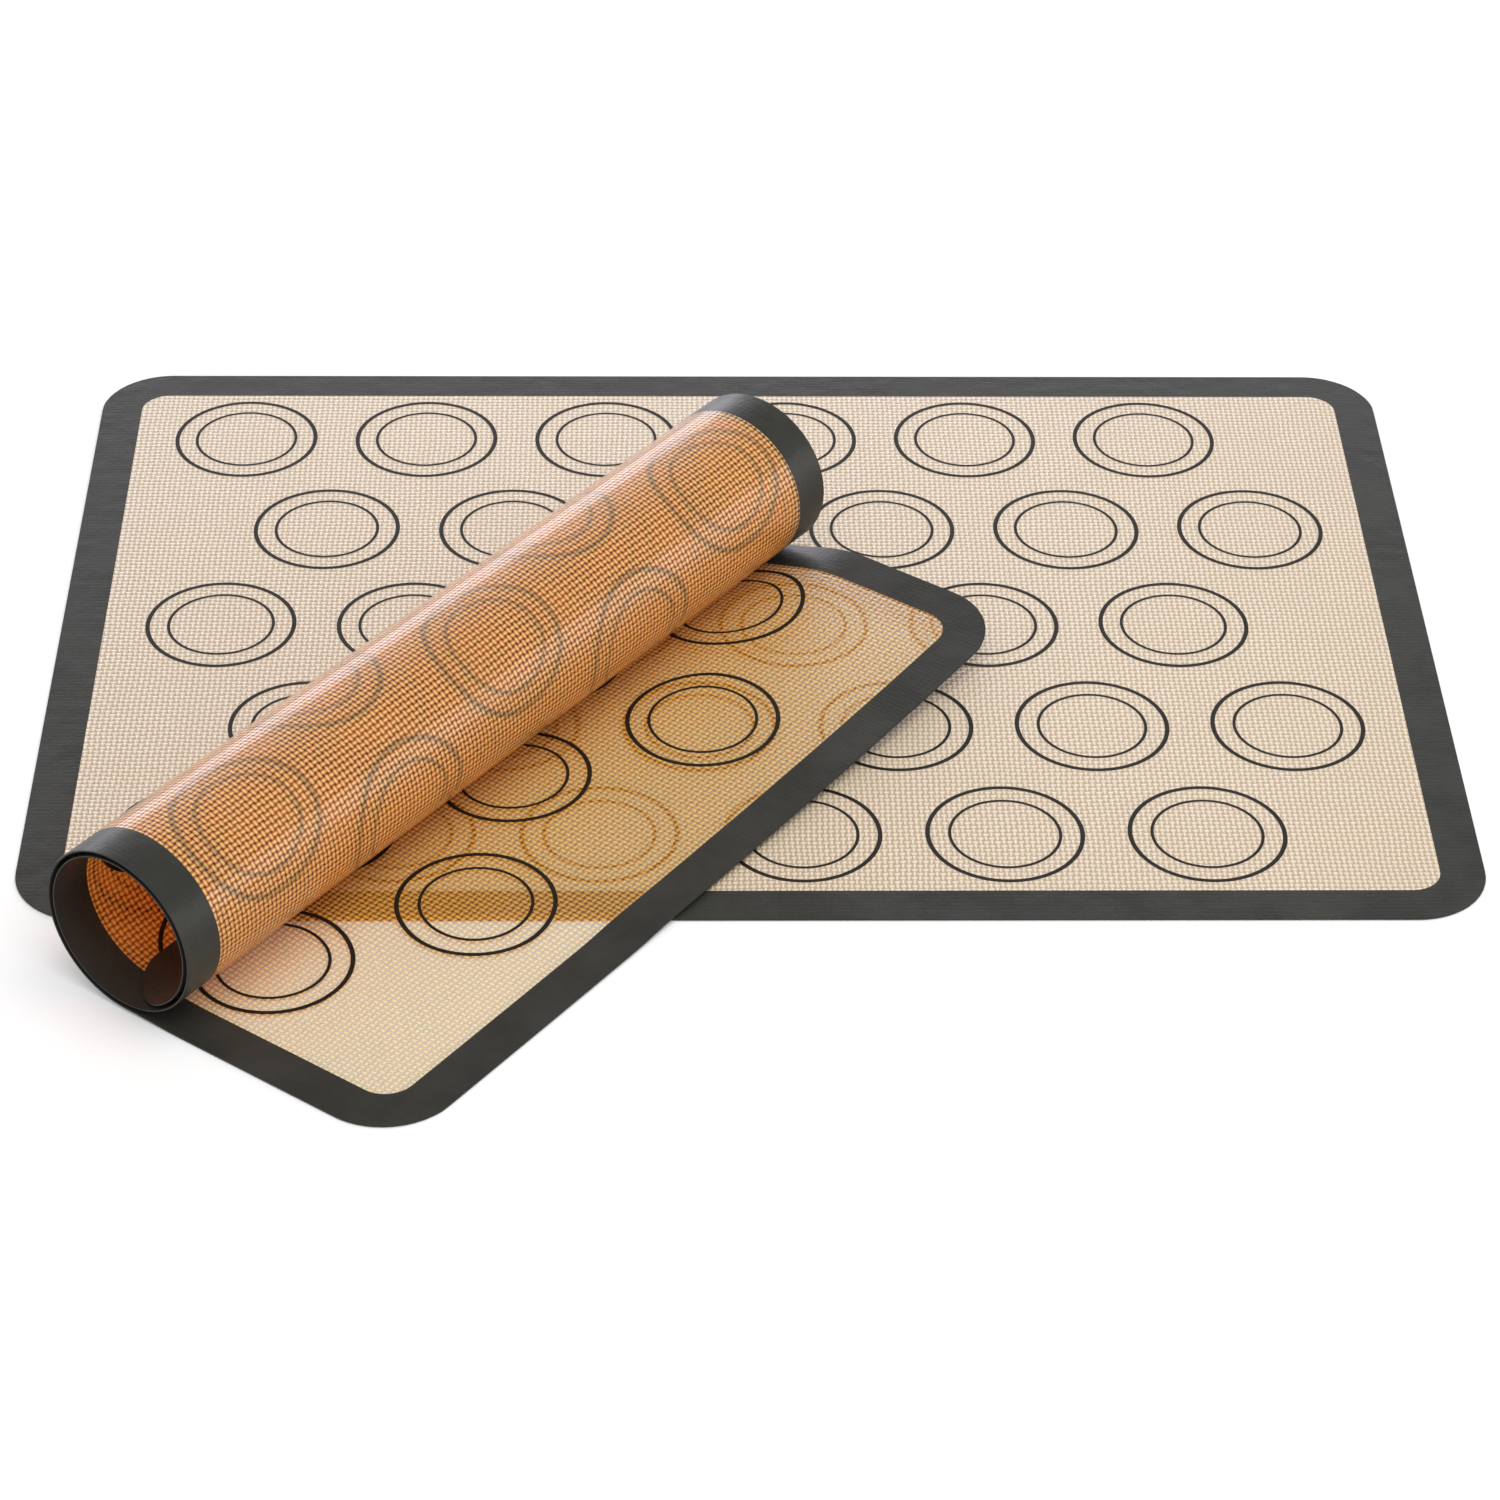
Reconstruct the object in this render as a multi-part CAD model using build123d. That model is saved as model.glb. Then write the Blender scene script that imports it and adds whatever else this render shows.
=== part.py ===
from build123d import *
from math import cos, radians, sin, tan
import os

# A pair of silicone baking mats. One lies flat. The other lies across it, partly rolled up.
# Millimetres, +Z up. The origin is on the counter, under the middle of the flat mat.
# +X runs along the long side of the flat mat, +Y towards its far side.

# The mat
mat_length = 420.0
mat_width = 295.0
corner_radius = 22.0
rim_width = 13.0
coat_thickness = 0.2
mesh_thickness = 0.3
mesh_inset = 2.0

# The printed baking guide: staggered rows of one thick circle round one thin circle,
# as many as fit on the panel
outer_circle_diameter = 44.9
outer_line_width = 1.35
inner_circle_diameter = 32.1
inner_line_width = 0.95
ink_depth = 0.1
guide_gap_in_row = 12.41
guide_gap_between_rows = 7.55
guide_rim_clearance = 3.0

# The upper mat: its flat end, then its roll of flat strips on hinge lines, printed side in
flat_length = 103.23
turn_per_strip_deg = 30.0
strip_count = 24
turn_gap = 1.0

# Where the free flat end of the upper mat lies
upper_end_x = -7.2
upper_end_y = -127.6
upper_turn_deg = -37.0

# How far a cutting block runs past what it cuts
overrun = 5.0

# Worked out from the sizes above
mat_thickness = 2 * coat_thickness + mesh_thickness
panel_length = mat_length - 2 * rim_width
panel_width = mat_width - 2 * rim_width
panel_radius = max(corner_radius - rim_width, coat_thickness)
mesh_radius = max(corner_radius - mesh_inset, coat_thickness)
guide_reach = outer_circle_diameter + outer_line_width
pitch_x = guide_reach + guide_gap_in_row
pitch_y = guide_reach + guide_gap_between_rows
guide_room_x = panel_length - 2 * guide_rim_clearance - guide_reach - pitch_x / 2
guide_room_y = panel_width - 2 * guide_rim_clearance - guide_reach
guides_per_row = int(guide_room_x / pitch_x) + 1
guide_rows = int(guide_room_y / pitch_y) + 1

# The roll: each strip lies a little further in than the one before it
mitre_slope = tan(radians(turn_per_strip_deg / 2))
strip_step_in = (mat_thickness + turn_gap) * turn_per_strip_deg / 360
rolled_length = mat_length - flat_length
mean_roll_radius = rolled_length / (2 * mitre_slope * strip_count)
roll_radius = mean_roll_radius + strip_step_in * (strip_count + 1) / 2
first_hinge_x = mat_length / 2 - flat_length


def strip_radius(index):
    """Distance from the roll's middle to the underside of a strip."""
    return roll_radius - strip_step_in * index


strip_lengths = [2 * strip_radius(index + 1) * mitre_slope for index in range(strip_count)]


def rounded_slab(length, width, radius, bottom, thickness):
    """A flat sheet with round corners, with its underside at the height bottom."""
    outline = RectangleRounded(length, width, radius)
    return Pos(0, 0, bottom) * extrude(outline, thickness)


def circle_line(centre, diameter, line_width):
    """One printed circle, let into the top face."""
    outer = Circle((diameter + line_width) / 2)
    inner = Circle((diameter - line_width) / 2)
    ring = extrude(outer - inner, ink_depth)
    return Pos(centre[0], centre[1], mat_thickness - ink_depth) * ring


def guide_centres():
    """Middles of the printed guides, row by row, each row shifted by half a pitch."""
    left = -pitch_x * (guides_per_row - 1 / 2) / 2
    top = pitch_y * (guide_rows - 1) / 2
    centres = []
    for row in range(guide_rows):
        shift = pitch_x / 2 * (row % 2)
        for column in range(guides_per_row):
            centres.append((left + shift + pitch_x * column, top - pitch_y * row))
    return centres


def make_bottom_coat():
    """The clear silicone coat on the underside."""
    return rounded_slab(panel_length, panel_width, panel_radius, 0, coat_thickness)


def make_glass_mesh():
    """The woven glass fibre sheet in the middle, which runs on into the rim."""
    length = mat_length - 2 * mesh_inset
    width = mat_width - 2 * mesh_inset
    return rounded_slab(length, width, mesh_radius, coat_thickness, mesh_thickness)


def make_circles(diameter, line_width):
    """All circles of one size."""
    return [circle_line(centre, diameter, line_width) for centre in guide_centres()]


def make_top_coat(circles):
    """The clear silicone coat on top, with the print let into it."""
    top_height = coat_thickness + mesh_thickness
    coat = rounded_slab(panel_length, panel_width, panel_radius, top_height, coat_thickness)
    return coat - circles


def make_rim(mesh):
    """The dark silicone rim, which wraps the edge of the glass mesh."""
    whole = rounded_slab(mat_length, mat_width, corner_radius, 0, mat_thickness)
    hole = rounded_slab(panel_length, panel_width, panel_radius, 0, mat_thickness)
    return whole - hole - mesh


def strip_block(left_x, right_x, left_mitred, right_mitred):
    """The space of one strip, with its sides mitred so that strips close on each other."""
    low = -overrun
    high = mat_thickness + overrun
    left_slope = mitre_slope if left_mitred else 0
    right_slope = mitre_slope if right_mitred else 0
    corners = [
        (left_x + low * left_slope, low),
        (right_x - low * right_slope, low),
        (right_x - high * right_slope, high),
        (left_x + high * left_slope, high),
    ]
    side = Plane.XZ * make_face(Polyline(*corners, close=True))
    return extrude(side, mat_width / 2 + overrun, both=True)


def pieces_in(block, bodies):
    """What lies inside a block, as a list of separate solids."""
    reach = block.bounding_box()
    found = []
    for body in bodies:
        box = body.bounding_box()
        if box.max.X <= reach.min.X or box.min.X >= reach.max.X:
            continue
        cut = body & block
        if cut is not None:
            found.extend(cut.solids())
    return found


def solids_of(bodies):
    """All solids of a list of bodies."""
    return [solid for body in bodies for solid in body.solids()]


def save(name, place, solids):
    """Writes one node."""
    placed = [place * solid for solid in solids]
    export_step(Compound(children=placed), f"parts/{name}.step")


def strip_places():
    """Where each strip lies in the rolled mat, starting from its place in the flat mat."""
    hinge_flat_x = first_hinge_x
    hinge_x = first_hinge_x
    hinge_z = 0.0
    places = []
    for index, length in enumerate(strip_lengths):
        angle = turn_per_strip_deg * (index + 1)
        place = Pos(hinge_x, 0, hinge_z) * Rot(0, angle, 0) * Pos(-hinge_flat_x, 0, 0)
        places.append((hinge_flat_x - length, hinge_flat_x, place))
        hinge_x -= length * cos(radians(angle))
        hinge_z += length * sin(radians(angle))
        hinge_flat_x -= length
    return places


bottom_coat = make_bottom_coat()
glass_mesh = make_glass_mesh()
outer_circles = make_circles(outer_circle_diameter, outer_line_width)
inner_circles = make_circles(inner_circle_diameter, inner_line_width)
top_coat = make_top_coat(outer_circles + inner_circles)
rim = make_rim(glass_mesh)

layers = {
    "bottom_coat": [bottom_coat],
    "glass_mesh": [glass_mesh],
    "top_coat": [top_coat],
    "rim": [rim],
    "outer_circles": outer_circles,
    "inner_circles": inner_circles,
}
sheet_layers = [bottom_coat, glass_mesh, top_coat]
dark_layers = [rim] + outer_circles + inner_circles

os.makedirs("parts", exist_ok=True)

# The lower mat, flat on the counter
for layer_name, bodies in layers.items():
    save(f"lower_{layer_name}", Pos(0, 0, 0), solids_of(bodies))

# The upper mat lies on the lower one: first its flat part, then the strips of its roll
upper_place = Pos(upper_end_x, upper_end_y, mat_thickness) * Rot(0, 0, upper_turn_deg)
upper_place = upper_place * Pos(-mat_length / 2, 0, 0)
flat_block = strip_block(first_hinge_x, mat_length / 2 + overrun, True, False)
for layer_name, bodies in layers.items():
    save(f"upper_{layer_name}", upper_place, pieces_in(flat_block, bodies))

for number, (left_x, right_x, place) in enumerate(strip_places(), start=1):
    is_last = number == strip_count
    end_x = left_x - overrun if is_last else left_x
    block = strip_block(end_x, right_x, not is_last, True)
    save(f"roll_sheet_{number:02d}", upper_place * place, pieces_in(block, sheet_layers))
    save(f"roll_dark_{number:02d}", upper_place * place, pieces_in(block, dark_layers))
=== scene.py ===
from math import cos, pi, radians, sin, sqrt, tan

import bpy
import numpy as np
from mathutils import Matrix, Vector


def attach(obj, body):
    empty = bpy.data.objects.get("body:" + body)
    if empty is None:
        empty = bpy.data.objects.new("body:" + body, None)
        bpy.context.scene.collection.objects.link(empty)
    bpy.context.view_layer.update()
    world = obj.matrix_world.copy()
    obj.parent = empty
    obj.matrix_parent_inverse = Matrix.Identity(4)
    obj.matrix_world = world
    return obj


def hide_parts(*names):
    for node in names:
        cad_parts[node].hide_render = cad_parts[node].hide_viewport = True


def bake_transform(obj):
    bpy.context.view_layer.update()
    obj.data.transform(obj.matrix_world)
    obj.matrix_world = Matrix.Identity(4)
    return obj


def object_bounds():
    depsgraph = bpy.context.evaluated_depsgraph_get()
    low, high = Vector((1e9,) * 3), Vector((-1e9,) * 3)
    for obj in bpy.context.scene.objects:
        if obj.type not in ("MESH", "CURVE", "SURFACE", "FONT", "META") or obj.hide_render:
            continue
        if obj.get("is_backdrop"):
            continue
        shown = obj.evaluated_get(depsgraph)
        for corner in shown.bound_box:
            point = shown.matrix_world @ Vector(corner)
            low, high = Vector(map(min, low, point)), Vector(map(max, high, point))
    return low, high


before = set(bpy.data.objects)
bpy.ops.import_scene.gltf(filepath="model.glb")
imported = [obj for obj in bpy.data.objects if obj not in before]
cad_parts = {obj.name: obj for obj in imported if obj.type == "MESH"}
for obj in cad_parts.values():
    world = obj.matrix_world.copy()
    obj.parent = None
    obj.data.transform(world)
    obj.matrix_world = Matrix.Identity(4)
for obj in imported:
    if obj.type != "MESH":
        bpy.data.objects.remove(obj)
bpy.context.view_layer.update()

# Two silicone baking mats, one flat and one across it, partly rolled up.
# Sizes are in millimetres, the same as in the part's source.
MM = 0.001
LENGTH, WIDTH, THICK = 420.0, 295.0, 0.7
CORNER, RIM = 22.0, 13.0
FLAT, STRIPS, TURN, TURN_GAP = 103.23, 24, radians(30), 1.0
END_X, END_Y, MAT_TURN = -7.2, -127.6, radians(-37)
RINGS = ((44.9, 1.35), (32.1, 0.95))
PITCH_X, PITCH_Y, PER_ROW, ROWS = 58.66, 53.8, 6, 5
INK_LOW, INK_HIGH = THICK - 0.08, THICK + 0.05  # the print, over the mat's underside
EDGE_ROUND = 0.14  # how much thinner a mat is at its outer edge, on each face
EDGE_ROW = 0.35  # how far from its short edges a mat has its last row of points
CORNER_POINTS, RING_SIDES = 13, 96
RIM_SHARES = (0.0, 0.33, 0.66, 0.97, 1.0)  # rows of points across the rim
FAR_LIFT = 9.0  # how high the far edge of the upper mat's flat part is lifted
LIFT_RUN = 40.0  # how far from the roll that lift is complete
# Past the lower mat's near edge the upper mat comes down to the counter, over these distances
# from the edge, and not before it is this far from the roll
DROP_FROM, DROP_TO, DROP_RUN = 1.0, 14.0, 20.0

HALF_L, HALF_W = LENGTH / 2, WIDTH / 2
IN_L, IN_W, IN_CORNER = HALF_L - RIM, HALF_W - RIM, CORNER - RIM
ARC_U, ARC_V = HALF_L - CORNER, HALF_W - CORNER


# The roll: hinge lines and the middles of the strips, in the flat mat and in its rolled side view
SLOPE = tan(TURN / 2)
STEP_IN = (THICK + TURN_GAP) * TURN / (2 * pi)
ROLL_R = (LENGTH - FLAT) / (2 * SLOPE * STRIPS) + STEP_IN * (STRIPS + 1) / 2
STRIP_L = [2 * (ROLL_R - STEP_IN * (i + 1)) * SLOPE for i in range(STRIPS)]
HINGE_U = [HALF_L - FLAT]
HINGE_P = [np.array([HALF_L - FLAT, 0.0])]
for i, length in enumerate(STRIP_L):
    HINGE_U.append(HINGE_U[-1] - length)
    HINGE_P.append(HINGE_P[-1] + length * np.array([-cos(TURN * (i + 1)), sin(TURN * (i + 1))]))
MID_U = [HINGE_U[0] + STRIP_L[0] / 2] + [(a + b) / 2 for a, b in zip(HINGE_U, HINGE_U[1:])]
MID_P = [HINGE_P[0] + [STRIP_L[0] / 2, 0]] + [(a + b) / 2 for a, b in zip(HINGE_P, HINGE_P[1:])]


def smooth(x, low, high):
    """0 below low, 1 above high, and a smooth rise between them."""
    t = np.clip((x - low) / (high - low), 0, 1)
    return t * t * (3 - 2 * t)


def side_view(u):
    """Where the underside of the upper mat runs, for the place u along the flat mat."""
    x, z = np.array(u, float), np.zeros(len(u))
    for i in range(STRIPS):
        pick = (u <= MID_U[i]) & (u > MID_U[i + 1])
        share = (MID_U[i] - u[pick]) / (MID_U[i] - MID_U[i + 1])
        a, b = np.sin(share * TURN / 2), np.sin((1 - share) * TURN / 2)
        t = (a / (a + b))[:, None]
        weight = cos(TURN / 2)
        top = (1 - t) ** 2 * MID_P[i] + 2 * weight * t * (1 - t) * HINGE_P[i] + t**2 * MID_P[i + 1]
        point = top / ((1 - t) ** 2 + 2 * weight * t * (1 - t) + t**2)
        x[pick], z[pick] = point[:, 0], point[:, 1]
    pick = u <= MID_U[STRIPS]
    past = MID_U[STRIPS] - u[pick]
    end = TURN * STRIPS
    x[pick] = MID_P[STRIPS][0] - past * cos(end)
    z[pick] = MID_P[STRIPS][1] + past * sin(end)
    return x, z


def upper_surface(u, v):
    """The underside of the upper mat. It comes down past the lower mat's near edge."""
    x, z = side_view(u)
    far = np.clip((v + HALF_W) / WIDTH, 0, 1)
    out = smooth(u, MID_U[0], MID_U[0] + LIFT_RUN)
    z = z + FAR_LIFT * far**3 * out
    c, s = cos(MAT_TURN), sin(MAT_TURN)
    X = END_X + c * (x - HALF_L) - s * v
    Y = END_Y + s * (x - HALF_L) + c * v
    drop = smooth(-Y, HALF_W + DROP_FROM, HALF_W + DROP_TO)
    drop = THICK * drop * smooth(u, MID_U[0], MID_U[0] + DROP_RUN)
    return np.stack([X, Y, THICK + z - drop], axis=1)


def lower_surface(u, v):
    """The underside of the lower mat, flat on the counter."""
    return np.stack([u, v, np.zeros(len(u))], axis=1)


def on_surface(surface, u, v):
    """Points of the underside and the directions square to it."""
    u, v = np.asarray(u, float), np.asarray(v, float)
    d = 0.02  # half the step that the direction is measured over
    along = surface(u + d, v) - surface(u - d, v)
    across = surface(u, v + d) - surface(u, v - d)
    normal = np.cross(along, across)
    return surface(u, v), normal / np.linalg.norm(normal, axis=1)[:, None]


# The flat mat as columns of points, with its round corners
def edge_v(u, corner, half_l, half_w):
    """Half the width of a round-cornered sheet at the place u."""
    past = max(0.0, abs(u) - (half_l - corner))
    return half_w - corner + sqrt(max(0.0, corner**2 - past**2))


def columns(low, high, step):
    """Places along the mat from low to high, close together at the round corners."""
    found = set(np.round(np.linspace(low, high, max(1, round((high - low) / step)) + 1), 4))
    for turn in np.linspace(0, pi / 2, CORNER_POINTS):
        for radius in (CORNER, IN_CORNER):
            found |= {round(side * (ARC_U + radius * sin(turn)), 4) for side in (-1, 1)}
    found |= {round(side * (HALF_L - EDGE_ROW), 4) for side in (-1, 1)}
    return sorted(u for u in found if low - 1e-4 <= u <= high + 1e-4)


def rows(u, panel_rows):
    """The places across the mat at u: near rim, panel and far rim."""
    outer = edge_v(u, CORNER, HALF_L, HALF_W)
    inner = edge_v(min(abs(u), IN_L), IN_CORNER, IN_L, IN_W)
    rim = [inner + (outer - inner) * share for share in RIM_SHARES]
    middle = list(np.linspace(-inner, inner, panel_rows + 1))
    return [-v for v in reversed(rim)], middle, rim


def faces_between(us, panel_rows):
    """Faces of the panel and of the rim, as corners in the flat mat."""
    panel, rim = [], []
    for ua, ub in zip(us, us[1:]):
        parts = zip(rows(ua, panel_rows), rows(ub, panel_rows))
        for number, (left, right) in enumerate(parts):
            is_panel = number == 1 and max(abs(ua), abs(ub)) <= IN_L + 1e-6
            for k in range(len(left) - 1):
                face = [(ua, left[k]), (ub, right[k]), (ub, right[k + 1]), (ua, left[k + 1])]
                (panel if is_panel else rim).append(face)
    return panel, rim


def ring_faces(low, high, diameter, line):
    """The faces of one size of printed circle whose middles lie between low and high."""
    left, top = -PITCH_X * (PER_ROW - 0.5) / 2, PITCH_Y * (ROWS - 1) / 2
    radii = ((diameter - line) / 2, (diameter + line) / 2)
    found = []
    for row in range(ROWS):
        for column in range(PER_ROW):
            cu = left + PITCH_X * (column + 0.5 * (row % 2))
            cv = top - PITCH_Y * row
            if cu + diameter < low or cu - diameter > high:
                continue
            for k in range(RING_SIDES):
                a, b = 2 * pi * k / RING_SIDES, 2 * pi * (k + 1) / RING_SIDES
                middle = cu + radii[1] * cos((a + b) / 2)
                if low < middle <= high:
                    corners = ((radii[0], a), (radii[1], a), (radii[1], b), (radii[0], b))
                    found.append([(cu + r * cos(t), cv + r * sin(t)) for r, t in corners])
    return found


def slab(name, faces, surface, material, low=0.0, high=THICK):
    """A thin closed piece over faces of the flat mat, between two heights over its underside."""
    index, keys, flat_faces = {}, [], []
    for face in faces:
        ids = []
        for u, v in face:
            key = (round(u, 3), round(v, 3))
            if key not in index:
                index[key] = len(keys)
                keys.append(key)
            if index[key] not in ids:
                ids.append(index[key])
        if len(ids) > 2:
            flat_faces.append(ids)
    n = len(keys)
    uv = np.array(keys)
    base, normal = on_surface(surface, uv[:, 0], uv[:, 1])
    at_edge = np.array([
        abs(abs(u) - HALF_L) < 1e-3 or abs(abs(v) - edge_v(u, CORNER, HALF_L, HALF_W)) < 2e-3
        for u, v in keys])
    pinch = np.where(at_edge, EDGE_ROUND, 0.0)[:, None]
    points = np.concatenate([base + normal * (high - pinch), base + normal * (low + pinch)]) * MM
    directed = {(f[k], f[(k + 1) % len(f)]) for f in flat_faces for k in range(len(f))}
    walls = [(a, a + n, b + n, b) for a, b in sorted(directed) if (b, a) not in directed]
    polygons = flat_faces + [[k + n for k in reversed(f)] for f in flat_faces] + walls
    mesh = bpy.data.meshes.new(name)
    mesh.from_pydata([tuple(p) for p in points], [], polygons)
    layer = mesh.uv_layers.new(name="flat")
    loops = np.zeros(len(mesh.loops), np.int32)
    mesh.loops.foreach_get("vertex_index", loops)
    layer.data.foreach_set("uv", (uv[loops % n]).astype(np.float32).ravel())
    mesh.polygons.foreach_set("use_smooth", [True] * len(polygons))
    normals = np.where(loops[:, None] < n, normal[loops % n], -normal[loops % n])
    first_wall = sum(len(f) for f in polygons[:2 * len(flat_faces)])
    for k, (a, _, _, b) in enumerate(walls):
        side = np.cross(points[b] - points[a], normal[a] + normal[b])
        at = first_wall + 4 * k
        normals[at:at + 4] = side / max(np.linalg.norm(side), 1e-12)
    mesh.normals_split_custom_set([tuple(x) for x in normals])
    mesh.materials.append(material)
    piece = bpy.data.objects.new(name, mesh)
    bpy.context.scene.collection.objects.link(piece)
    return piece


# Materials
class Maker:
    """Adds nodes to one material."""

    def __init__(self, name):
        self.material = bpy.data.materials.new(name)
        self.material.use_nodes = True
        self.tree = self.material.node_tree
        self.tree.nodes.clear()
        self.output = self.tree.nodes.new("ShaderNodeOutputMaterial")

    def node(self, kind, inputs=(), **settings):
        """A node with its inputs linked or set."""
        made = self.tree.nodes.new("ShaderNode" + kind)
        for key, value in settings.items():
            setattr(made, key, value)
        pairs = inputs.items() if isinstance(inputs, dict) else enumerate(inputs)
        for key, value in pairs:
            if isinstance(value, bpy.types.NodeSocket):
                self.tree.links.new(value, made.inputs[key])
            elif value is not None:
                made.inputs[key].default_value = value
        return made

    def math(self, operation, *inputs):
        return self.node("Math", inputs, operation=operation).outputs[0]

    def rise(self, value, low, high, to_low=0.0, to_high=1.0):
        """A smooth change from to_low to to_high as the value goes from low to high."""
        settings = dict(zip(range(5), (value, low, high, to_low, to_high)))
        return self.node("MapRange", settings, interpolation_type="SMOOTHSTEP").outputs[0]

    def colour(self, factor, a, b):
        """A mix of two colours: a at factor 0, b at factor 1."""
        inputs = {0: factor, 6: a, 7: b}
        return self.node("Mix", inputs, data_type="RGBA").outputs[2]

    def noise(self, where, scale, detail=2.0, roughness=0.5):
        inputs = {"Vector": where, "Scale": scale, "Detail": detail, "Roughness": roughness}
        return self.node("TexNoise", inputs).outputs[0]

    def finish(self, shader):
        self.tree.links.new(shader, self.output.inputs["Surface"])
        return self.material


def rgb(r, g, b):
    """An opaque colour."""
    return (r, g, b, 1.0)


# Millimetres between the cloth's threads, along and across each mat
LOWER_PITCH, UPPER_PITCH = (1.65, 1.87), (1.87, 1.68)
STRAY = (1.6, 1.3)  # how far the threads stray from straight lines
# Half a thread's width in pitches, and how a thread rises and falls about its middle height
HALF_THREAD = (0.34, 0.40)
THREAD_MIDDLE, THREAD_WAVE = 0.58, 0.42
# The weave's height at the bottom of a gap, and where the gap ends
GAP_DEEP, GAP_END = 0.22, 0.56
# Colours, each with painted light: thread low, painted shade where a thread dips; thread high,
# painted highlight on its crown; and gap, painted shade
LOWER_LIT_TONES = (rgb(0.58, 0.45, 0.31), rgb(0.90, 0.76, 0.58), rgb(0.47, 0.36, 0.24))
# On the roll the crowns are paler and the gaps near black: stronger painted highlight and painted
# shade than on the flat part
ROLL_SHADED_TONES = (rgb(0.62, 0.21, 0.02), rgb(1.0, 0.74, 0.26), rgb(0.02, 0.006, 0.001))
FLAT_LIT_TONES = (rgb(0.60, 0.25, 0.02), rgb(1.0, 0.58, 0.10), rgb(0.22, 0.075, 0.01))
# What the upper mat's threads and gaps let through, on the roll and lying flat:
# first the light that it casts on, then what is seen behind it
CAST = (
    (rgb(0.45, 0.20, 0.05), rgb(0.60, 0.40, 0.20)),
    (rgb(0.55, 0.58, 0.52), rgb(0.60, 0.60, 0.56)),
)
SEEN = (
    (rgb(0.20, 0.10, 0.03), rgb(0.40, 0.25, 0.10)),
    (rgb(0.10, 0.35, 0.53), rgb(0.42, 0.52, 0.62)),
)
# Places along the upper mat where the roll's colours, with their stronger painted highlight and
# painted shade, end and the flat part's are complete
ROLL_ENDS, FLAT_BEGINS = 100.0, 150.0
GLOW = 0.25  # how much of the upper cloth's light is scattered through it
# Painted shadow of the printed circles on the roll's cloth, where they lie on its other face, and
# how strong it is
PRINT_SHADOW_TONE, PRINT_SHARE = rgb(0.06, 0.018, 0.003), 0.38
RIM_DARK, RIM_PALE = rgb(0.022, 0.022, 0.018), rgb(0.036, 0.036, 0.031)
RIM_FLECK = rgb(0.062, 0.061, 0.056)
INK_DARK, INK_PALE = rgb(0.006, 0.005, 0.003), rgb(0.022, 0.016, 0.009)


def weave(m, pitch):
    """A plain weave in the flat mat's millimetres: the place, the height and the gaps."""
    where = m.node("UVMap", uv_map="flat").outputs[0]
    warp = m.noise(where, 0.04, 1.0)
    parts = m.node("SeparateXYZ", [where]).outputs
    u, v = [
        m.math("DIVIDE", m.math("ADD", parts[i], m.math("MULTIPLY", warp, STRAY[i])), pitch[i])
        for i in range(2)]
    heights = []
    for across, along, half, side in (
            (u, v, HALF_THREAD[0], THREAD_WAVE), (v, u, HALF_THREAD[1], -THREAD_WAVE)):
        number = m.math("FLOORED_MODULO", m.math("FLOOR", across), 2.0)
        sign = m.math("MULTIPLY_ADD", number, -2.0 * side, side)
        wave = m.math("MULTIPLY", m.math("SINE", m.math("MULTIPLY", along, pi)), sign)
        off = m.math("DIVIDE", m.math("SUBTRACT", m.math("FRACT", across), 0.5), half)
        bow = m.math("MULTIPLY_ADD", m.math("MULTIPLY", off, off), -1.0, 1.0)
        arch = m.math("SQRT", m.math("MAXIMUM", bow, 0.0))
        heights.append(m.math("MULTIPLY", arch, m.math("ADD", wave, THREAD_MIDDLE)))
    height = m.math("MAXIMUM", *heights)
    gap = m.rise(height, GAP_DEEP, GAP_END, 1.0, 0.0)
    return where, height, gap


def coated(m, base, height, gloss):
    """Woven threads in clear silicone. The weave shows in the light under its smooth skin."""
    bump = m.node("Bump", {"Strength": 0.8, "Distance": 0.0004, "Height": height}).outputs[0]
    return m.node("BsdfPrincipled", {
        "Base Color": base, "Roughness": 0.33, "Normal": bump, "IOR": 1.45,
        "Coat Weight": gloss, "Coat Roughness": 0.12, "Coat IOR": 1.5}).outputs[0]


def shaded_tones(m, where, height, gap, low, high, gap_shade):
    """Thread colours with the patches and flecks of a real cloth, painted shade where the threads
    dip, painted highlights on their crowns, and gaps painted dark as shade.
    """
    patch, fleck = m.noise(where, 0.03, 3.0), m.noise(where, 0.5, 2.0)
    # Painted shade on the low parts of the threads and painted highlight on their crowns, set by
    # the weave's height; the gaps take a colour painted dark as shade
    threads = m.colour(m.rise(height, 0.45, 1.0), low, high)
    tone = m.math("ADD", m.math("MULTIPLY", patch, 0.16), m.math("MULTIPLY", fleck, 0.24))
    return m.colour(gap, m.colour(tone, threads, gap_shade), gap_shade)


def nearest(m, value, pitch, count):
    """The number of the row or column nearest to a place, from 0 to count - 1."""
    number = m.math("ROUND", m.math("DIVIDE", value, pitch))
    return m.math("MINIMUM", m.math("MAXIMUM", number, 0.0), count - 1.0)


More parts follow.
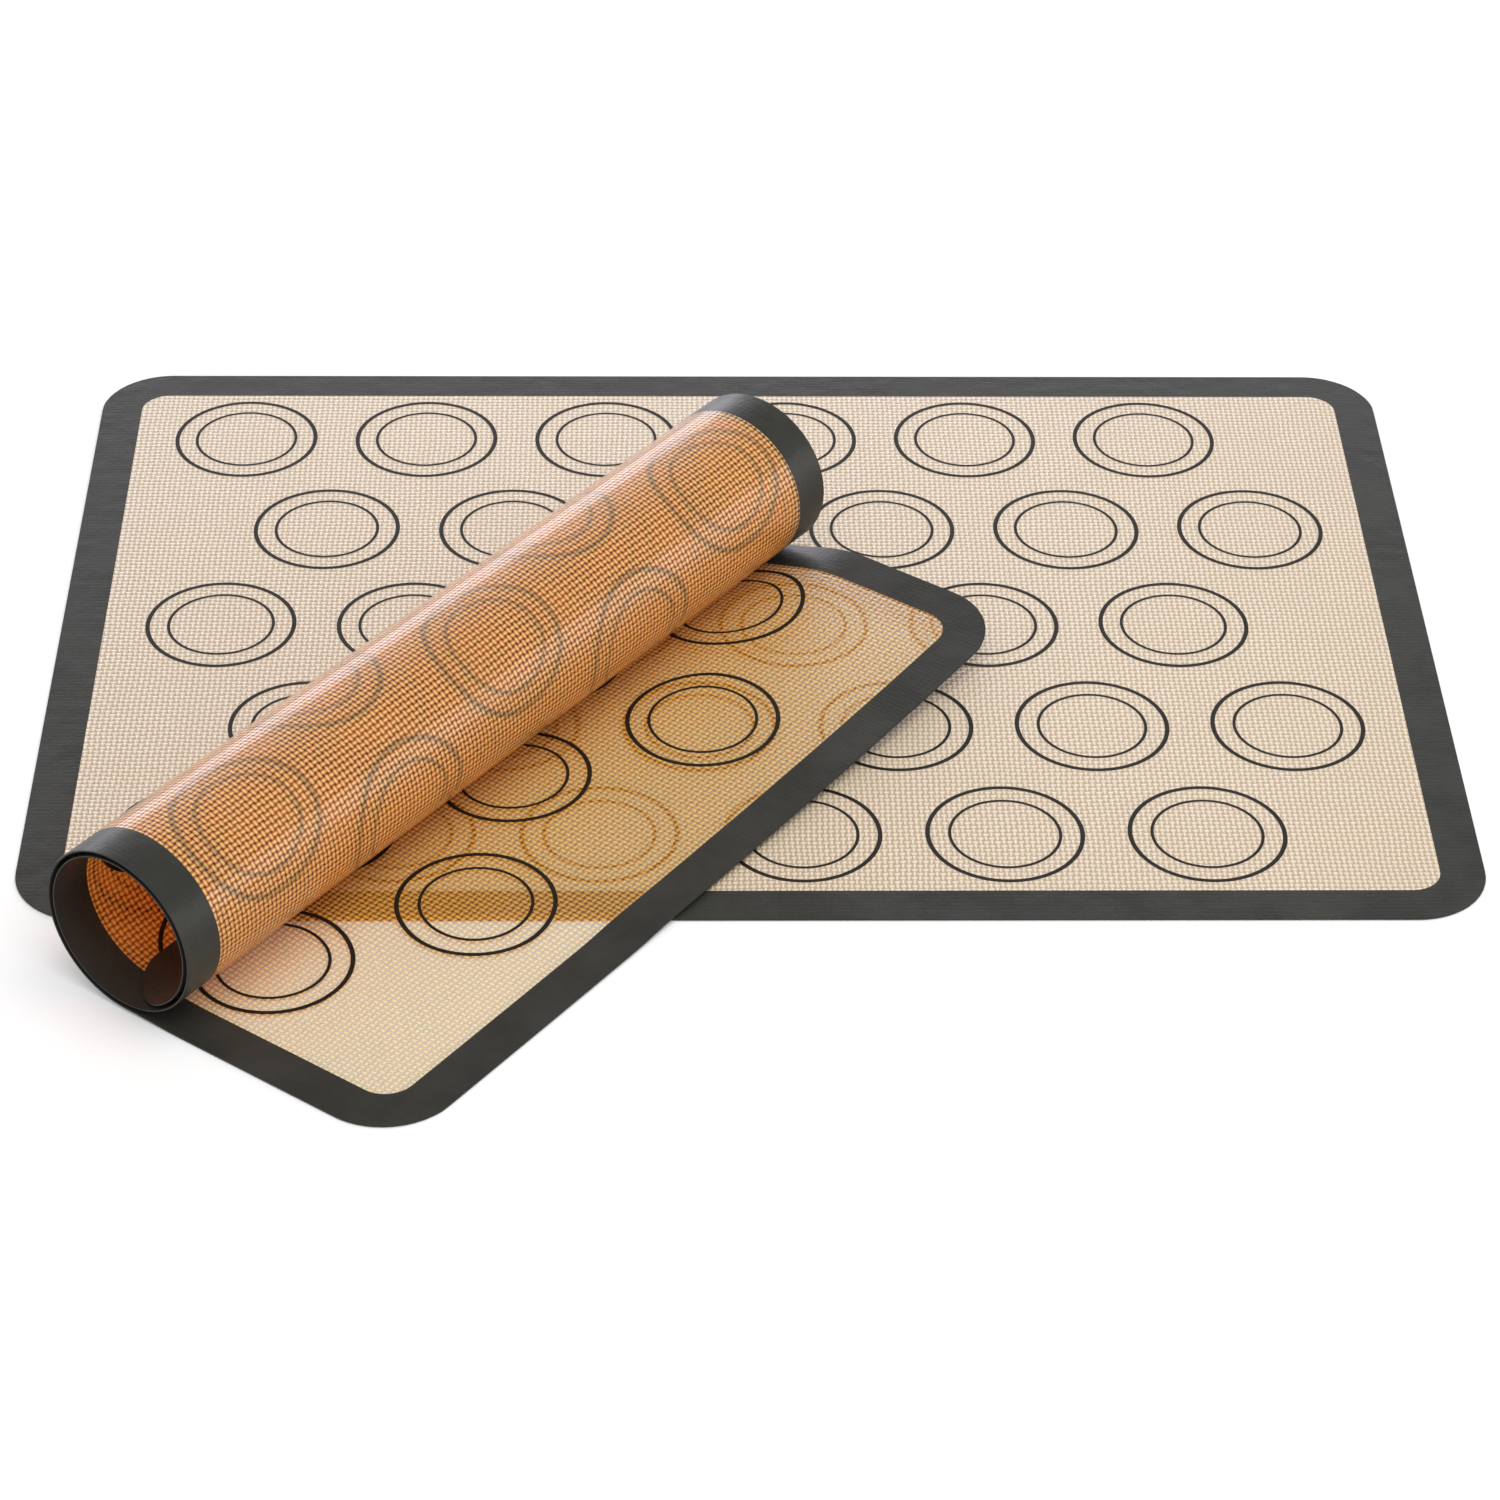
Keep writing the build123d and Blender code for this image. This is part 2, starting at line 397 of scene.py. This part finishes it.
def print_behind(m, where):
    """1 where a printed circle lies on the other face of the cloth."""
    left, top = -PITCH_X * (PER_ROW - 0.5) / 2, PITCH_Y * (ROWS - 1) / 2
    u, v = m.node("SeparateXYZ", [where]).outputs[:2]
    row = nearest(m, m.math("SUBTRACT", top, v), PITCH_Y, ROWS)
    down = m.math("SUBTRACT", m.math("MULTIPLY_ADD", row, -PITCH_Y, top), v)
    shift = m.math("MULTIPLY", m.math("FLOORED_MODULO", row, 2.0), PITCH_X / 2)
    along = m.math("SUBTRACT", m.math("ADD", u, -left), shift)
    column = nearest(m, along, PITCH_X, PER_ROW)
    aside = m.math("SUBTRACT", along, m.math("MULTIPLY", column, PITCH_X))
    squares = [m.math("MULTIPLY", part, part) for part in (down, aside)]
    distance = m.math("SQRT", m.math("ADD", *squares))
    found = []
    for diameter, line in RINGS:
        off = m.math("ABSOLUTE", m.math("SUBTRACT", distance, diameter / 2))
        found.append(m.rise(off, line * 0.4, line * 0.9, 1.0, 0.0))
    return m.math("MAXIMUM", *found)


def lower_material(name):
    """The lower mat lies on the white counter, so its cloth looks pale all through."""
    m = Maker(name)
    where, height, gap = weave(m, LOWER_PITCH)
    base = shaded_tones(m, where, height, gap, *LOWER_LIT_TONES)
    return m.finish(coated(m, base, height, 0.35))


def upper_material(name):
    """The upper mat: see-through amber where it lies flat. On the roll it lets less through and
    has paler crowns and near-black gaps, a stronger painted highlight and painted shade that fade
    out over the flat part next to the roll.
    """
    m = Maker(name)
    where, height, gap = weave(m, UPPER_PITCH)
    # The roll's stronger painted highlight and painted shade fade out over the flat part next to
    # the roll
    flat = m.rise(m.node("SeparateXYZ", [where]).outputs[0], ROLL_ENDS, FLAT_BEGINS)
    rolled = shaded_tones(m, where, height, gap, *ROLL_SHADED_TONES)
    # Painted shadow where a printed circle lies on the other face of the roll's cloth
    print_shadow = m.math("MULTIPLY", print_behind(m, where), PRINT_SHARE)
    rolled = m.colour(print_shadow, rolled, PRINT_SHADOW_TONE)
    base = m.colour(flat, rolled, shaded_tones(m, where, height, gap, *FLAT_LIT_TONES))
    glow = m.node("BsdfTranslucent", {"Color": base}).outputs[0]
    gloss = m.math("MULTIPLY_ADD", gap, -0.6, 0.7)
    solid = m.node("MixShader", [GLOW, coated(m, base, height, gloss), glow]).outputs[0]
    # What is seen through the mat has other tints than the light that falls through it
    path = m.node("LightPath").outputs
    seen = m.math("MAXIMUM", path["Is Camera Ray"], path["Is Glossy Ray"])
    ways = [
        m.colour(flat, m.colour(gap, *on_roll), m.colour(gap, *on_flat))
        for on_roll, on_flat in (CAST, SEEN)]
    clear = m.node("BsdfTransparent", {"Color": m.colour(seen, *ways)}).outputs[0]
    skin = m.node("AddShader", [solid, clear]).outputs[0]
    # A ray meets each layer's front and back, and only the front counts
    back = m.node("NewGeometry").outputs["Backfacing"]
    inside = m.node("BsdfTransparent").outputs[0]
    return m.finish(m.node("MixShader", [back, skin, inside]).outputs[0])


def rim_material(name):
    """Dark silicone over glass cloth, satin, with the cloth and soft creases showing faintly."""
    m = Maker(name)
    where, height, _ = weave(m, UPPER_PITCH)
    patch = m.noise(where, 0.035, 4.0, 0.6)
    fleck = m.noise(where, 1.2, 3.0, 0.6)
    creases = m.noise(where, 0.12, 4.0, 0.55)
    base = m.colour(m.rise(patch, 0.35, 0.7), RIM_DARK, RIM_PALE)
    base = m.colour(m.math("MULTIPLY", fleck, 0.35), base, RIM_FLECK)
    cloth = m.math("ADD", m.math("MULTIPLY", height, 0.5), fleck)
    fold = m.node("Bump", {"Strength": 0.25, "Distance": 0.001, "Height": creases}).outputs[0]
    bump = m.node("Bump", {
        "Strength": 0.3, "Distance": 0.0002, "Height": cloth, "Normal": fold}).outputs[0]
    rough = m.rise(patch, 0.3, 0.7, 0.34, 0.5)
    shader = m.node("BsdfPrincipled", {
        "Base Color": base, "Roughness": rough, "Normal": bump, "IOR": 1.43,
        "Specular IOR Level": 0.15, "Coat Weight": 0.10, "Coat Roughness": 0.2,
        "Coat IOR": 1.45, "Coat Normal": fold}).outputs[0]
    return m.finish(shader)


def ink_material(name):
    """Printed lines: dark brown ink, a little worn over the threads."""
    m = Maker(name)
    where, height, _ = weave(m, LOWER_PITCH)
    wear = m.math("MULTIPLY", m.noise(where, 0.9, 2.0), height)
    base = m.colour(wear, INK_DARK, INK_PALE)
    shader = m.node("BsdfPrincipled", {
        "Base Color": base, "Roughness": 0.6, "IOR": 1.41, "Specular IOR Level": 0.3}).outputs[0]
    return m.finish(shader)


lower_cloth = lower_material("lower_cloth")
upper_cloth = upper_material("upper_cloth")
dark = rim_material("dark_silicone")
ink = ink_material("print_ink")


def add(piece, nodes=(), body=None, between=None):
    """Hides the parts that a piece stands for and puts it on its body's empty; a piece between two
    bodies only has its place baked into its points.
    """
    if nodes:
        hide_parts(*nodes)
    if body:
        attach(piece, body)
    if between:
        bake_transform(piece)
    return piece


def at(u, v=0.0):
    """A point of the upper mat's underside, in metres."""
    return tuple(float(x) * MM for x in upper_surface(np.array([u]), np.array([v]))[0])


# How far apart the points of a mat are along it, and how many rows of faces a panel has
LOWER_STEP, UPPER_STEP, ROLL_STEP = 7.0, 4.0, 2.4
FLAT_ROWS, ROLL_ROWS = 44, 16


def flat_mat(name, low, high, surface, cloth, step):
    """A mat's flat part as panel, rim and two sizes of printed circle."""
    body = name + "_mat"
    panel_faces, rim_faces = faces_between(columns(low, high, step), FLAT_ROWS)
    panel = slab(name + "_panel", panel_faces, surface, cloth)
    layers = [f"{name}_{part}" for part in ("bottom_coat", "glass_mesh", "top_coat")]
    add(panel, layers, body)
    rim = slab(name + "_rim_band", rim_faces, surface, dark)
    going = [add(rim, [name + "_rim"], body)]
    for part, (diameter, line) in zip(("outer", "inner"), RINGS):
        made = ring_faces(low, high, diameter, line)
        piece = slab(f"{name}_{part}_rings", made, surface, ink, INK_LOW, INK_HIGH)
        going.append(add(piece, [f"{name}_{part}_circles"], body))
    return panel, going


panel, going = flat_mat("lower", -HALF_L, HALF_L, lower_surface, lower_cloth, LOWER_STEP)
panel, going = flat_mat("upper", MID_U[0], HALF_L, upper_surface, upper_cloth, UPPER_STEP)
for i in range(STRIPS):
    number = f"{i + 1:02d}"
    a = "upper_mat" if i == 0 else f"roll_{i:02d}"
    b = "roll_" + number
    low, high = MID_U[i + 1], MID_U[i]
    between = (a, b, at(high), at(low))
    panel_faces, rim_faces = faces_between(columns(low, high, ROLL_STEP), ROLL_ROWS)
    panel = slab("roll_panel_" + number, panel_faces, upper_surface, upper_cloth)
    add(panel, ["roll_sheet_" + number], between=between)
    rim = slab("roll_rim_" + number, rim_faces, upper_surface, dark)
    going = [add(rim, ["roll_dark_" + number], between=between)]
    made = [f for diameter, line in RINGS for f in ring_faces(low, high, diameter, line)]
    if made:
        piece = slab("roll_rings_" + number, made, upper_surface, ink, INK_LOW, INK_HIGH)
        going.append(add(piece, between=between))
_, rim_faces = faces_between(columns(-HALF_L, MID_U[STRIPS], ROLL_STEP), ROLL_ROWS)
rim = slab("roll_rim_end", rim_faces, upper_surface, dark)
add(rim, body=f"roll_{STRIPS:02d}")


# Floor, light and camera, in metres
FLOOR_REACH, FLOOR_LEVEL = 6.0, -0.0002
FLOOR_COLOUR, FLOOR_LIFT = 0.88, 0.14
# The floor keeps its shadows up to the first distance and is plain white past the second
SHADOWS_END, WHITE_FROM = 0.45, 1.3


def floor_material():
    """A pale floor that looks white and keeps the shadows near the mats."""
    m = Maker("white_floor")
    colour = rgb(FLOOR_COLOUR, FLOOR_COLOUR, FLOOR_COLOUR)
    plain = m.node("BsdfDiffuse", {"Color": colour}).outputs[0]
    path = m.node("LightPath").outputs
    seen = m.math("MAXIMUM", path["Is Camera Ray"], path["Is Glossy Ray"])
    seen = m.math("MAXIMUM", seen, path["Is Transmission Ray"])
    lift = m.node("Emission", {"Strength": m.math("MULTIPLY", seen, FLOOR_LIFT)}).outputs[0]
    near = m.node("AddShader", [plain, lift]).outputs[0]
    place = m.node("NewGeometry").outputs["Position"]
    distance = m.node("VectorMath", [place], operation="LENGTH").outputs["Value"]
    away = m.math("MULTIPLY", seen, m.rise(distance, SHADOWS_END, WHITE_FROM))
    white = m.node("Emission", {"Strength": 1.0}).outputs[0]
    return m.finish(m.node("MixShader", [away, near, white]).outputs[0])


mesh = bpy.data.meshes.new("floor")
around = ((-1, -1), (1, -1), (1, 1), (-1, 1))
corners = [(x * FLOOR_REACH, y * FLOOR_REACH, FLOOR_LEVEL) for x, y in around]
mesh.from_pydata(corners, [], [(0, 1, 2, 3)])
mesh.materials.append(floor_material())
floor = bpy.data.objects.new("floor", mesh)
bpy.context.scene.collection.objects.link(floor)
floor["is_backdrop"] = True

# The world looks white and lights the mats more softly
WORLD_LIGHT = 0.55
world = bpy.data.worlds.new("world")
bpy.context.scene.world = world
world.use_nodes = True
tree = world.node_tree
tree.nodes.clear()
out = tree.nodes.new("ShaderNodeOutputWorld")
sky = tree.nodes.new("ShaderNodeBackground")
path = tree.nodes.new("ShaderNodeLightPath")
strength = tree.nodes.new("ShaderNodeMapRange")
strength.inputs["To Min"].default_value = WORLD_LIGHT
strength.inputs["To Max"].default_value = 1.0
tree.links.new(path.outputs["Is Camera Ray"], strength.inputs["Value"])
tree.links.new(strength.outputs[0], sky.inputs["Strength"])
sky.inputs["Color"].default_value = rgb(1.0, 1.0, 1.0)
tree.links.new(sky.outputs[0], out.inputs["Surface"])


def lamp(name, place, target, size, watts, colour=(1, 1, 1)):
    """A soft rectangular light at place, turned to target."""
    data = bpy.data.lights.new(name, "AREA")
    data.shape, data.energy, data.color = "RECTANGLE", watts, colour
    data.size, data.size_y = size
    made = bpy.data.objects.new(name, data)
    made.location = place
    aim = Vector(target) - Vector(place)
    made.rotation_euler = aim.to_track_quat("-Z", "Y").to_euler()
    bpy.context.scene.collection.objects.link(made)


# One light from above, one that gives the roll's far edge its pale strip, and one from the right
ON_MATS, ON_ROLL, SIDE_ON_ROLL = (0, 0, 0), (-0.08, -0.05, 0.03), (-0.08, -0.07, 0.03)
lamp("key", (0.25, -0.55, 1.35), ON_MATS, (1.3, 1.3), 13.0)
lamp("back", (-0.25, 1.55, 0.31), ON_ROLL, (1.8, 0.6), 14.0, (0.92, 0.90, 1.0))
lamp("side", (1.40, 0.05, 0.16), SIDE_ON_ROLL, (1.4, 0.8), 9.0)

# The photograph's camera, fitted to the lower mat: angles in radians, focal length in pixels
YAW, PITCH, ROLL = 0.024810, 0.624804, 0.014153
CAMERA_PLACE = (-0.026967, -1.160793, 0.790373)
FOCAL, PHOTO_WIDTH, SENSOR = 4556.3, 1500, 36.0
forward = Vector((sin(YAW) * cos(PITCH), cos(YAW) * cos(PITCH), -sin(PITCH)))
right = Vector((cos(YAW), -sin(YAW), 0))
up = right.cross(forward)
image_x = right * cos(ROLL) + up * sin(ROLL)
image_y = up * cos(ROLL) - right * sin(ROLL)
data = bpy.data.cameras.new("camera")
data.sensor_fit, data.sensor_width = "HORIZONTAL", SENSOR
data.lens = FOCAL * SENSOR / PHOTO_WIDTH
data.clip_start, data.clip_end = 0.05, 30.0
camera = bpy.data.objects.new("camera", data)
turn = Matrix((image_x, image_y, -forward)).transposed().to_4x4()
camera.matrix_world = Matrix.Translation(CAMERA_PLACE) @ turn
bpy.context.scene.collection.objects.link(camera)
bpy.context.scene.camera = camera
bpy.context.scene.view_settings.view_transform = "Standard"

bpy.context.view_layer.update()
low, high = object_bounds()
